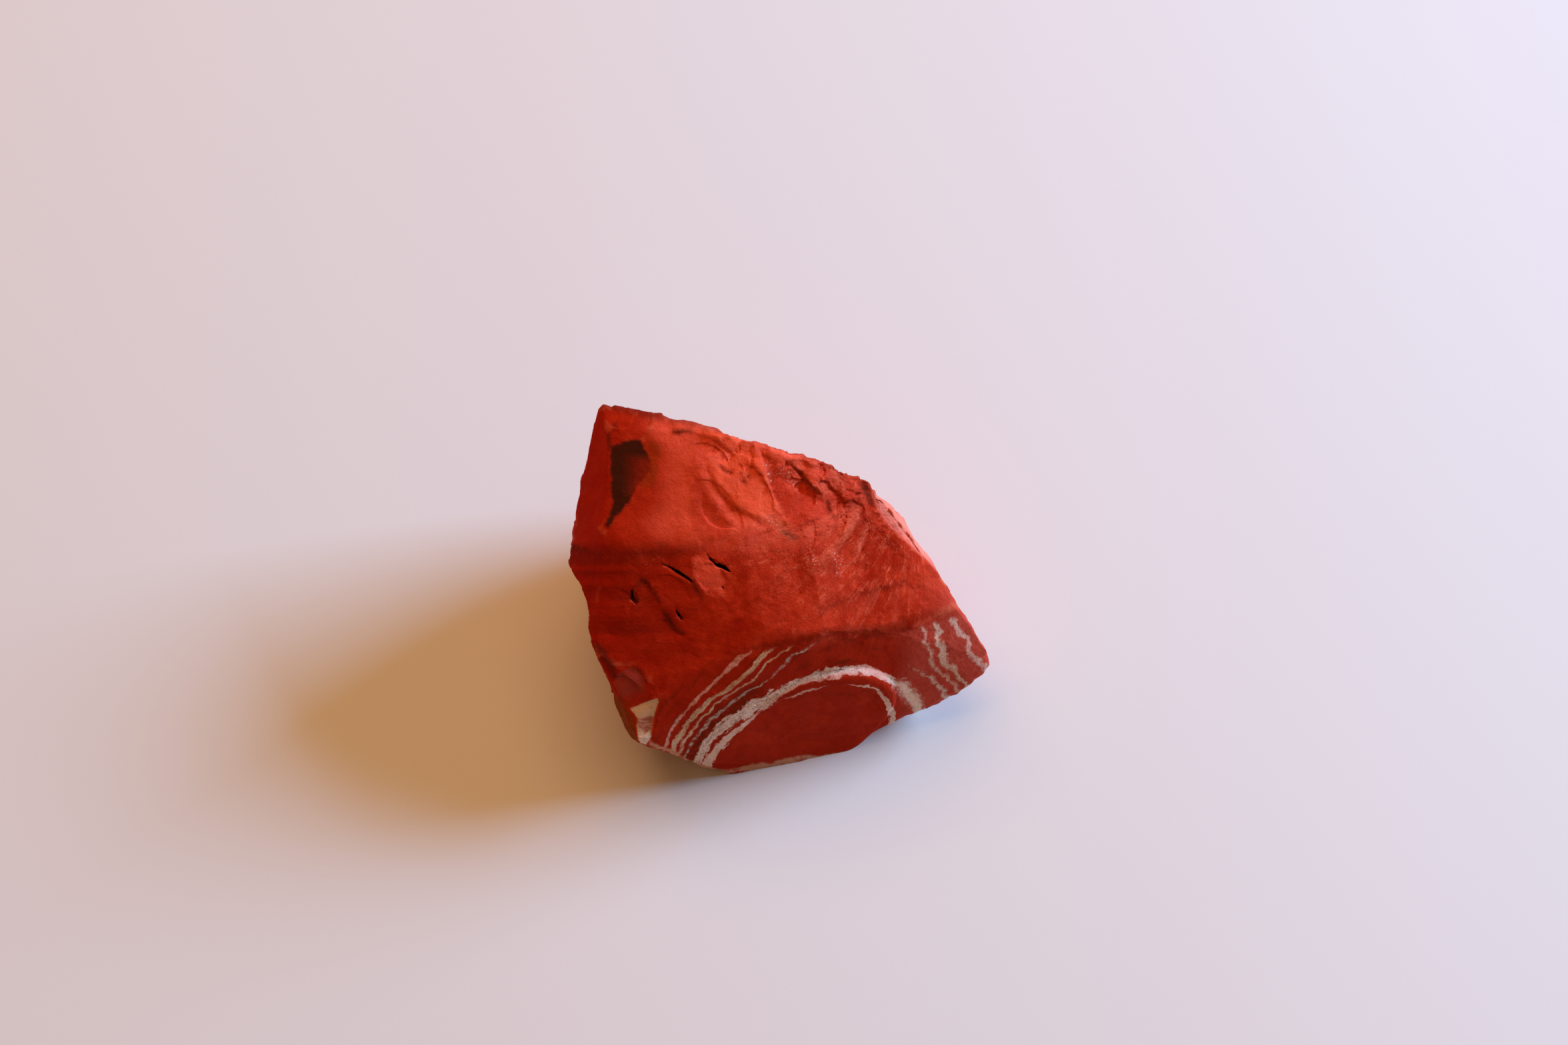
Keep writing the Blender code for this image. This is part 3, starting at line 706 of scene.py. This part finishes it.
class Coat:
    """The stone's colour, laid on one coat over another, and the wires that place the coats."""

    def __init__(self, graph, place, tones):
        self.graph = graph
        self.place = place
        self.tones = tones
        self.across = place.dot(RIGHT)
        self.up = place.dot(UP_PLANE)
        self.mottle = self.noise(size=1.8, detail=4.0, rough=0.6, away=5.0)
        self.fine = self.noise(size=0.35, detail=3.0, rough=0.7, away=7.0)
        self.ragged = (self.mottle - 0.5) * 1.2 + (self.fine - 0.5) * 0.5
        self.dabs = drawn_out(graph, place, 42.0, 0.5, 5.0)
        self.dusty = (place - DUSTY_MIDDLE).length().ease(*DUSTY_REACH)
        self.base = tones.red

    def lay(self, amount, tint):
        """Covers this much of what is there with a colour."""
        self.base = self.graph.mix(amount, self.base, tint)

    def noise(self, size, detail=2.0, rough=0.5, away=0.0):
        return self.graph.noise(self.place, size, detail, rough, away)

    def mark(self, name, fray=None):
        """How far each place is outside a mark, whose edge may fray by this much."""
        gap = self.graph.add("ShaderNodeAttribute", {"attribute_name": name}, {}, "Fac")
        return gap if fray is None else gap + self.ragged * fray

    def from_fan(self, reach, core):
        """1 in the middle of the hackles, and 0 from this reach on."""
        return (self.place - HACKLE_MIDDLE).length().ease(reach, core)


def red_ground(coat):
    """The mottled red: painted shade on the left, dull and dusty behind, and milky at the right end."""
    tones, across, mottle = coat.tones, coat.across, coat.mottle
    broad = coat.noise(size=8.0)
    coat.lay((broad * 0.5 + mottle * 0.5).ease(0.62, 0.36), tones.deep_red)
    # Painted shade: the left side, turned from the light, is darkened low down and toward its edge.
    coat.lay(across.ease(*LEFT_SIDE) * coat.up.ease(*BELOW_BLOOM) * 0.6, tones.deep_red)
    coat.lay(across.ease(*LEFT_END) * 0.8, tones.left_red)
    far_side = coat.mark("facing").ease(0.35, -0.1)
    coat.lay(far_side * mottle.ease(0.38, 0.58) * 0.7, tones.deep_red)
    coat.lay(far_side * coat.fine.ease(0.5, 0.7) * mottle.ease(0.4, 0.6) * 0.35, tones.dust)
    coat.lay(across.ease(*RIGHT_END) * coat.place.dot(BACK).ease(*FRONT_HALF) * 0.5, tones.band_milk)


def dusty_and_shaded_faces(coat):
    """The pale bloom over the far half, the fan of hackles, painted shade over the far crest, and the
    bruised grain.
    """
    tones, across, mottle, fine = coat.tones, coat.across, coat.mottle, coat.fine
    bloom = coat.mark("bloom", 3.0).ease(2.2, -2.6) * mottle.ease(0.3, 0.6, 0.65, 1.0)
    raised = (coat.place.dot(OUT_OF_PLANE) + coat.ragged * 4.0).ease(*RAISED_FACES)
    coat.lay(bloom * raised, tones.bloom)
    ribs = drawn_out(coat.graph, coat.place, 20.0, 0.15, 0.0)
    fan = coat.from_fan(*FAN_REACH)
    coat.lay(fan * across.ease(*FAN_FADES) * 0.14, tones.bloom)
    coat.lay(ribs.ease(0.5, 0.72) * fan * 0.3, tones.dust)
    coat.lay(ribs.ease(0.47, 0.33) * fan * 0.45, tones.deep_red)
    coat.lay(coat.dabs.ease(0.54, 0.66) * mottle.ease(0.42, 0.58) * fan * 0.75, tones.dust)
    # Painted shade: the crest along the far ridge is darkened toward deep red on its right half.
    crest = (coat.graph.from_line(coat.place, *RIDGE_LINE) + coat.ragged * 2.5).ease(*CREST_SHADE_REACH)
    coat.lay(crest * across.ease(*CREST_RIGHT) * 0.6, tones.deep_red)
    coat.lay(fine.ease(0.48, 0.34) * 0.25, tones.deep_red)
    coat.lay(fine.ease(0.54, 0.66) * mottle.ease(0.42, 0.58) * coat.dusty * 0.7, tones.dust)


def fresh_scars_and_lump_light(coat):
    """The clean scars, the painted light on the far lump, and the pale streaks."""
    tones, mottle = coat.tones, coat.mottle
    coat.lay(coat.mark("petal", 0.5).ease(0.4, -0.9) * 0.6, tones.red)
    coat.lay(coat.mark("fresh", 0.5).ease(0.5, -0.5) * 0.7, tones.fresh)
    coat.lay(coat.mark("flake", 1.8).ease(0.5, -0.5) * 0.75, tones.bloom)
    uneven = mottle * 0.6 + coat.fine.ease(0.3, 0.7) * 0.3 + 0.45
    coat.lay(coat.mark("plateau", 0.4).ease(0.3, -0.3) * uneven, tones.bright_red)
    # Painted light: the far lump is laid pink, palest along its crest, where the window light falls on it.
    crest = (coat.graph.from_line(coat.place, *LUMP_CREST) + coat.ragged * 3.0).ease(*LUMP_REACH)
    crest = crest * mottle.ease(0.3, 0.6, 0.85, 1.0)
    coat.lay(coat.mark("lump", 0.3).ease(0.3, -0.6) * crest, tones.pink)
    coat.lay(coat.mark("pale", 1.0).ease(0.7, -0.6) * coat.dabs.ease(0.3, 0.6) * 0.7, tones.dust)


def worn_and_shaded_edges(coat):
    """The dust on what stands out, painted shade in what lies deep and along the top rim, and the pale
    crumbs.
    """
    tones = coat.tones
    edge = coat.mark("edge") + (coat.fine - 0.5) * 0.04
    coat.lay(edge.ease(0.03, 0.09) * coat.mottle.ease(0.35, 0.6) * 0.4, tones.dust)
    # Painted shade along the top rim.
    coat.lay(coat.mark("skyline_shade", 0.5).ease(1.7, 0.2) * 0.7, tones.streak)
    # Painted shade: hollows of the relief are darkened toward deep red.
    coat.lay(edge.ease(-0.02, -0.08) * 0.4, tones.deep_red)
    flecks = coat.noise(size=0.3, detail=3.0, rough=0.6, away=21.0).ease(0.56, 0.66)
    coat.lay(coat.mark("crumbs").ease(0.9, -0.1) * flecks * 0.6, tones.speck)
    grit = coat.graph.add("ShaderNodeTexVoronoi", {}, {"Vector": coat.place * 0.9, "Scale": 1.0}, "Distance")
    coat.lay(grit.ease(0.07, 0.03) * coat.dusty * 0.6, tones.speck)


def dark_stains_and_shade(coat):
    """The dark lines across the left, painted shade along the ridge and in smudges, the brown stain near the
    top corner and the purple chipped face.
    """
    tones, across, up, mottle = coat.tones, coat.across, coat.up, coat.mottle
    lines = coat.graph.noise(coat.graph.pack(across * 0.06, up), 1.1, 3.0, 0.6, 3.0).ease(0.45, 0.62)
    lines = lines * across.ease(*LINES_LEFT) * up.ease(*LINES_TOP) * up.ease(*LINES_FOOT)
    coat.lay(lines * 0.25, tones.streak)
    coat.lay(coat.mark("streak", 1.0).ease(1.5, -0.9) * up.ease(*TOP_STREAK, 0.35, 0.6), tones.streak)
    # Painted shade along the front ridge.
    coat.lay(coat.mark("brow", 0.7).ease(0.8, -0.5) * 0.45, tones.streak)
    # Partly painted shade: the dark smudges darken the stone under ledges and in pits.
    coat.lay(coat.mark("dark", 0.7).ease(0.6, -0.3) * 0.6, tones.brown)
    coat.lay(coat.mark("halo", 0.6).ease(0.6, -0.7) * 0.5, tones.olive)
    stain = coat.mark("spot") + (mottle - 0.5) * 1.3 + (coat.fine - 0.5) * 0.6
    dark = across.ease(*STAIN_LEFT).most(up.ease(*STAIN_TOP)).most(up.ease(*STAIN_FOOT))
    coat.lay(stain.ease(0.35, -0.3) * (dark * 0.45 + 0.5), tones.brown)
    coat.lay(coat.mark("purple", 0.5).ease(0.25, -0.2) * mottle.ease(0.3, 0.65, 0.65, 0.95), tones.purple)


class Banding:
    """The wires that place the bands: the depth of the layers, and the noises that fray them."""

    def __init__(self, coat):
        graph, across = coat.graph, coat.across
        self.right = across.ease(*BANDS_RIGHT)
        self.pace = coat.mark("pace")
        wander = (coat.noise(size=1.7, detail=3.0, rough=0.6, away=2.0) - 0.5) * (self.right + 1.1)
        self.depth = coat.mark("layer") + wander * self.pace
        self.fray = (coat.noise(size=0.9, detail=5.0, rough=0.78, away=6.0) - 0.5) * 1.1
        self.patchy = coat.noise(size=0.7, detail=3.0, rough=0.6, away=8.0)
        self.grain = coat.noise(size=0.3, detail=3.0, rough=0.7, away=9.0)
        self.threads = graph.noise(graph.pack(self.depth * 3.0, across * 0.45), 1.0, 3.0, 0.65, 12.0)


def red_layers(coat, banding):
    """The darker and the milky layers between the bands, and the fog beside the widest one."""
    tones, depth, across, patchy = coat.tones, banding.depth, coat.across, banding.patchy
    lines = coat.graph.noise(coat.graph.pack(depth * 2.6, across * 0.16), 1.0, 4.0, 0.6, 3.0)
    coat.lay(lines.ease(0.5, 0.75) * depth.ease(*INNER_LAYERS, 0.7, 0.4), tones.band_dark)
    blotches = coat.noise(size=3.0, detail=3.0, rough=0.6, away=15.0).ease(0.5, 0.66)
    coat.lay(blotches * depth.ease(*INNER_LAYERS) * 0.4, tones.red)
    coat.lay(banding.right * patchy.ease(0.2, 0.6, 0.3, 0.8), tones.band_milk)
    fog = depth.ease(*FOG_STARTS) * depth.ease(*FOG_ENDS) * across.ease(*FOG_LEFT)
    coat.lay(fog * patchy.ease(0.3, 0.55) * 0.8, tones.band_dark)


def white_band(coat, banding, at, tint, shade, strength, gaps):
    """One white band, at its depth in the layers: streaked with a shade, frayed and patchy."""
    tones, across, right = coat.tones, coat.across, banding.right
    half = coat.mark(f"half_{at:g}") * (right * 0.1 + 1.0)
    inward = (banding.depth - at) / banding.pace
    edge = banding.fray * half.ease(0.0, 0.9, 0.2, 1.0) * inward.ease(-0.2, 0.4, 1.2, 0.6)
    inside = half * banding.threads.ease(0.3, 0.7, 1.4, 0.65) - abs(inward) - edge
    soft = right * 0.16
    kept = banding.patchy.ease(0.4, 0.54, 1.0 - gaps, 1.0) * half.ease(0.01, 0.08)
    streaks = (banding.grain * 0.5 + banding.threads * 0.5).ease(0.47, 0.6) * 0.9
    blush = inward.ease(0.15, 0.7) * across.ease(*BLUSH_RIGHT) * 0.6
    if at == WIDEST_BAND:
        blush = blush.most(across.ease(*WIDE_BLUSH_RIGHT) * 0.45)
    colour = coat.graph.mix(streaks, tint, shade)
    colour = coat.graph.mix(blush * across.ease(*BLUSH_ENDS), colour, tones.pink)
    colour = coat.graph.mix(right * 0.5, colour, tones.white)
    coat.lay(inside.ease(-0.06 - soft, 0.14 + soft) * kept * strength, colour)


def banded_front(coat):
    """The face below the ridge: its red layers, its white bands, and the pale place at their foot."""
    tones = coat.tones
    coat.lay(coat.mark("front").ease(-0.4, 1.6) * 0.8, tones.band_red)
    above = coat.base
    banding = Banding(coat)
    red_layers(coat, banding)
    looks = {
        0.0: (tones.pink_white, tones.pink, 0.8, 0.4), 1.8: (tones.cream_white, tones.tan, 0.8, 0.3),
        2.8: (tones.cream_white, tones.pink_white, 0.75, 0.4), 4.0: (tones.grey_white, tones.grey, 0.8, 0.9),
        6.2: (tones.white, tones.grey, 0.95, 0.15), 7.8: (tones.white, tones.pink_white, 0.95, 0.15),
    }
    for at, (tint, shade, strength, gaps) in looks.items():
        white_band(coat, banding, at, tint, shade, strength, gaps)
    foot = coat.graph.from_line(coat.graph.pack(coat.across, coat.up), *FOOT_LINE)
    foot = (foot + (banding.patchy - 0.5) * 2.6 + banding.fray).ease(1.6, 0.0)
    coat.lay(foot * banding.grain.ease(0.65, 0.4, 0.6, 1.0), tones.foot)
    coat.base = coat.graph.mix(coat.mark("front").ease(-0.3, 0.5), above, coat.base)


def pale_corner(coat):
    """The ochre wall low on the left, and the pale chip above it with its veins and its red rim."""
    graph, tones, up = coat.graph, coat.tones, coat.up
    coat.lay(coat.mark("ochre", 1.6).ease(0.7, -0.8) * coat.mottle.ease(0.35, 0.6, 0.6, 0.9), tones.ochre)
    veins = graph.noise(graph.pack(coat.across * 0.4, up * 1.2), 0.5, 4.0, 0.7, 1.0)
    cream = graph.mix((up + coat.ragged).ease(*CHIP_TOP), tones.white, tones.cream)
    cream = graph.mix(veins.ease(0.5, 0.7) * 0.6, cream, tones.tan)
    middle = coat.mark("chip_middle", 0.5).ease(0.3, -0.2)
    cream = graph.mix(middle * veins.ease(0.35, 0.55, 0.3, 0.9), cream, tones.chip_red)
    coat.lay(coat.mark("cream", 0.4).ease(0.14, -0.1), cream)
    coat.lay(abs(coat.mark("cream", 0.3) - 0.16).ease(0.2, 0.05) * 0.7, tones.red)


def rind_and_splits(coat):
    """The weathered rim of the foot, and the painted shade inside the splits."""
    tones = coat.tones
    rind = coat.graph.mix(coat.mottle.ease(0.5, 0.6) * 0.5, tones.rind, tones.deep_red)
    coat.lay(coat.mark("rind", 0.8).ease(0.2, -0.3), rind)
    # Painted shade: the inside of the splits is laid near black.
    coat.lay(coat.mark("shaded_slit").ease(0.1, -0.06), tones.shaded_slit)


def stone_material(tones):
    material = bpy.data.materials.new("broken red jasper")
    material.use_nodes = True
    material.node_tree.nodes.clear()
    graph = Graph(material.node_tree)
    place = graph.add("ShaderNodeTexCoord", {}, {}, "Object") * (1 / MM)
    coat = Coat(graph, place, tones)
    for lay_on in (red_ground, dusty_and_shaded_faces, fresh_scars_and_lump_light, worn_and_shaded_edges, dark_stains_and_shade, banded_front, pale_corner,
                   rind_and_splits):
        lay_on(coat)
    grain = coat.noise(size=0.3, detail=4.0, rough=0.65, away=13.0)
    pits = coat.noise(size=1.1, detail=4.0, rough=0.6, away=17.0)
    height = grain + pits * 1.5 + coat.dabs * coat.from_fan(*RIBBED_REACH) * 1.6
    bump = graph.add("ShaderNodeBump", {}, {"Strength": 0.75, "Distance": 0.15 * MM, "Height": height})
    dull = coat.noise(size=2.0, detail=3.0, rough=0.6, away=19.0).ease(0.3, 0.7, 0.5, 0.68)
    values = {"Base Color": coat.base, "Roughness": dull, "Normal": bump, "Specular IOR Level": 0.02}
    shader = graph.add("ShaderNodeBsdfPrincipled", {}, values)
    graph.add("ShaderNodeOutputMaterial", {}, {"Surface": shader})
    return material


# --- Pieces ---


def merged_copy(node, name):
    """A copy of a node's mesh, with its loose triangles joined and its shortest edges closed up."""
    mesh = node.data.copy()
    mesh.name = name
    bm = bmesh.new()
    bm.from_mesh(mesh)
    bmesh.ops.remove_doubles(bm, verts=bm.verts[:], dist=SHORTEST_EDGE * MM)
    bm.to_mesh(mesh)
    bm.free()
    mesh.materials.clear()
    obj = bpy.data.objects.new(name, mesh)
    bpy.context.scene.collection.objects.link(obj)
    return obj


def run_tree(obj, tree, shape, material):
    """Gives the tree the shape's settings, and turns what it makes of the object into the object's mesh."""
    modifier = obj.modifiers.new(tree.name, "NODES")
    modifier.node_group = tree
    for socket in tree.interface.items_tree:
        if socket.name == "Stone":
            modifier[socket.identifier] = material
        elif hasattr(shape, socket.name.lower()):
            modifier[socket.identifier] = getattr(shape, socket.name.lower())
    obj.data.update()
    depsgraph = bpy.context.evaluated_depsgraph_get()
    mesh = bpy.data.meshes.new_from_object(obj.evaluated_get(depsgraph))
    obj.modifiers.clear()
    obj.data = mesh


def whole_number(name, description, default, most):
    return bpy.props.IntProperty(name=name, description=description, default=default, min=0, max=most)


def number(name, description, default):
    return bpy.props.FloatProperty(name=name, description=description, default=default)


def vector(name, description, default, **kind):
    return bpy.props.FloatVectorProperty(name=name, description=description, default=default,
                                         size=len(default), **kind)


def tone(name, description, default):
    return vector(name, description, default, subtype="COLOR", min=0, max=1)


def stand(name, description, default):
    return vector(name, description, default, subtype="TRANSLATION", unit="LENGTH")


def extent(name, description, default):
    return vector(name, description, default, unit="LENGTH")


class JasperShape(bpy.types.PropertyGroup):
    """How rough the broken faces are."""

    subdivisions: whole_number("Subdivisions", "How finely the faces are cut", 2, most=2)
    softening: whole_number("Softening", "How far the corners are worn round", 3, most=20)
    grain: number("Grain", "Height of the grain, in millimetres", 0.06)
    flats: number("Flats", "Lean of the small broken flats", 0.1)
    breaks: number("Breaks", "Lean of the larger flats on the back and the sides", 0.8)
    rubble: number("Rubble", "Lean of the chunks along the far ridge", 0.42)
    hackles: number("Hackles", "Height of the fanning ribs, in millimetres", 0.3)


class JasperTones(bpy.types.PropertyGroup):
    """The colours of the stone."""

    red: tone("Red", "The stone where it is fresh", (0.6, 0.038, 0.01))
    # Painted shade: the darker, purer red laid toward the left edge.
    left_red: tone("Left red", "The purer red toward the left edge", (0.4, 0.011, 0.001))
    # Deep red: the darker mottling, and also painted shade in hollows, over the far crest and on the left.
    deep_red: tone("Deep red", "The darker parts of the mottling", (0.4, 0.016, 0.003))
    bloom: tone("Bloom", "The paler dusting over the far half", (0.92, 0.112, 0.054))
    bright_red: tone("Bright red", "The fresh scars along the far ridge", (0.95, 0.115, 0.046))
    fresh: tone("Fresh", "The clean face beside the scars", (0.62, 0.036, 0.012))
    # Pink: the painted light on the far lump, and the blush in the bands.
    pink: tone("Pink", "The far lump", (0.98, 0.26, 0.18))
    band_red: tone("Band red", "The red between the white bands", (0.43, 0.02, 0.0045))
    band_dark: tone("Band dark", "The darkest layers between the bands", (0.16, 0.014, 0.001))
    band_milk: tone("Band milk", "The milky red at the right end", (0.6, 0.085, 0.05))
    dust: tone("Dust", "The bruised grain of the rough faces", (0.85, 0.16, 0.08))
    speck: tone("Speck", "Pale crumbs on the rough faces", (0.88, 0.6, 0.48))
    # Streak: the dark lines across the left, and also the painted shade along the ridge and the top rim.
    streak: tone("Streak", "The dark lines across the left", (0.13, 0.008, 0.003))
    brown: tone("Brown", "The dark mineral stain", (0.045, 0.012, 0.005))
    olive: tone("Olive", "The edge of the stain", (0.25, 0.045, 0.005))
    purple: tone("Purple", "The chipped face low on the left", (0.34, 0.05, 0.036))
    white: tone("White", "The widest band", (0.93, 0.71, 0.56))
    grey: tone("Grey", "The dirt in the widest band", (0.38, 0.25, 0.2))
    pink_white: tone("Pink white", "The outermost band", (0.8, 0.46, 0.34))
    cream_white: tone("Cream white", "The narrow bands", (0.8, 0.59, 0.36))
    grey_white: tone("Grey white", "The dotted band", (0.62, 0.5, 0.39))
    foot: tone("Foot", "Where the widest band meets the foot", (0.98, 0.72, 0.55))
    cream: tone("Cream", "The pale chip at the left corner", (0.78, 0.55, 0.36))
    chip_red: tone("Chip red", "The red layer in the pale chip", (0.42, 0.11, 0.08))
    ochre: tone("Ochre", "The wall under the pale chip", (0.24, 0.055, 0.006))
    tan: tone("Tan", "The dirt in the pale chip and the narrow bands", (0.5, 0.24, 0.1))
    rind: tone("Rind", "The weathered rim of the foot", (0.66, 0.32, 0.19))
    # Painted shade: the colour laid inside the splits.
    shaded_slit: tone("Slit", "The inside of the splits", (0.05, 0.006, 0.002))


class JasperStage(bpy.types.PropertyGroup):
    """The table, the light and the camera."""

    floor: tone("Floor", "The table", (0.795, 0.825, 0.83))
    key: tone("Key", "The light from the window side", (0.36, 0.55, 0.83))
    key_power: number("Key power", "Power of the window light, in watts", 29.0)
    key_size: extent("Key size", "Width and height of the window", (0.6, 0.35))
    key_from: stand("Key from", "Where the window light stands", (0.98, 0.46, 0.5))
    soft: tone("Soft light", "The warm light from above", (1.0, 0.5, 0.22))
    soft_power: number("Soft power", "Power of the light from above, in watts", 13.6)
    soft_size: extent("Soft size", "Width and depth of the light above", (1.6, 1.2))
    soft_from: stand("Soft from", "Where the light above stands", (-0.2, 0.75, 1.25))
    room: tone("Room", "The light from all round", (0.195, 0.1, 0.042))
    lens: number("Lens", "Focal length, in millimetres", 80.4)
    eye: stand("Eye", "Where the camera stands", (0.00074, -0.20778, 0.5071))


class JASPER_OT_stone(bpy.types.Operator):
    """Build the stone's broken surface and its colours"""

    bl_idname = "jasper.stone"
    bl_label = "Stone"

    def execute(self, context):
        shape = context.scene.jasper_shape
        material = stone_material(context.scene.jasper_tones)
        stone = merged_copy(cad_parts[NODE], "jasper_surface")
        run_tree(stone, worn_block_tree(), shape, material)
        hold_marks(stone.data)
        run_tree(stone, broken_face_tree(), shape, material)
        stone.data.shade_smooth()
        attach(stone, "root")
        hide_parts(NODE)
        return {"FINISHED"}


class JASPER_OT_stage(bpy.types.Operator):
    """Lay the table, hang the light and place the camera"""

    bl_idname = "jasper.stage"
    bl_label = "Stage"

    def execute(self, context):
        stage = context.scene.jasper_stage
        lay_floor(stage)
        hang_light("window", stage.key, stage.key_power, stage.key_size, stage.key_from)
        hang_light("soft light", stage.soft, stage.soft_power, stage.soft_size, stage.soft_from)
        fill_room(context.scene, stage)
        place_camera(context.scene, stage)
        return {"FINISHED"}


def lay_floor(stage):
    bm = bmesh.new()
    bmesh.ops.create_grid(bm, x_segments=1, y_segments=1, size=TABLE_REACH)
    mesh = bpy.data.meshes.new("table")
    bm.to_mesh(mesh)
    bm.free()
    floor = bpy.data.objects.new("table", mesh)
    bpy.context.scene.collection.objects.link(floor)
    material = bpy.data.materials.new("pale paper")
    material.use_nodes = True
    shader = material.node_tree.nodes["Principled BSDF"]
    shader.inputs["Base Color"].default_value = opaque(stage.floor)
    shader.inputs["Roughness"].default_value = 0.9
    mesh.materials.append(material)


def hang_light(name, tint, power, size, place):
    """A soft rectangle of light that faces the stone."""
    lamp = bpy.data.lights.new(name, "AREA")
    lamp.shape = "RECTANGLE"
    lamp.size, lamp.size_y = size
    lamp.energy = power
    lamp.color = tint
    light = bpy.data.objects.new(name, lamp)
    light.location = place
    light.rotation_mode = "QUATERNION"
    light.rotation_quaternion = Vector(place).to_track_quat("Z", "Y")
    bpy.context.scene.collection.objects.link(light)


def fill_room(scene, stage):
    world = bpy.data.worlds.new("room")
    world.use_nodes = True
    world.node_tree.nodes["Background"].inputs["Color"].default_value = opaque(stage.room)
    scene.world = world
    scene.view_settings.view_transform = "Standard"


def place_camera(scene, stage):
    data = bpy.data.cameras.new("camera")
    data.lens = stage.lens
    data.clip_start = 0.01
    camera = bpy.data.objects.new("camera", data)
    camera.location = stage.eye
    camera.rotation_euler = (math.pi / 2 - TILT, 0, 0)
    scene.collection.objects.link(camera)
    scene.camera = camera


class JASPER_PT_panel(bpy.types.Panel):
    """The jasper's settings and steps"""

    bl_idname = "JASPER_PT_panel"
    bl_label = "Red jasper"
    bl_space_type = "VIEW_3D"
    bl_region_type = "UI"
    bl_category = "Jasper"

    def draw(self, context):
        for group in (context.scene.jasper_shape, context.scene.jasper_tones, context.scene.jasper_stage):
            column = self.layout.column()
            for name in group.__annotations__:
                column.prop(group, name)
        self.layout.operator("jasper.stone")
        self.layout.operator("jasper.stage")


GROUPS = {"jasper_shape": JasperShape, "jasper_tones": JasperTones, "jasper_stage": JasperStage}
CLASSES = (*GROUPS.values(), JASPER_OT_stone, JASPER_OT_stage, JASPER_PT_panel)


def register():
    for cls in CLASSES:
        bpy.utils.register_class(cls)
    for name, group in GROUPS.items():
        setattr(bpy.types.Scene, name, bpy.props.PointerProperty(type=group))


def unregister():
    for name in GROUPS:
        delattr(bpy.types.Scene, name)
    for cls in reversed(CLASSES):
        bpy.utils.unregister_class(cls)


def main():
    register()
    bpy.ops.jasper.stone()
    bpy.ops.jasper.stage()


if __name__ == "__main__":
    main()
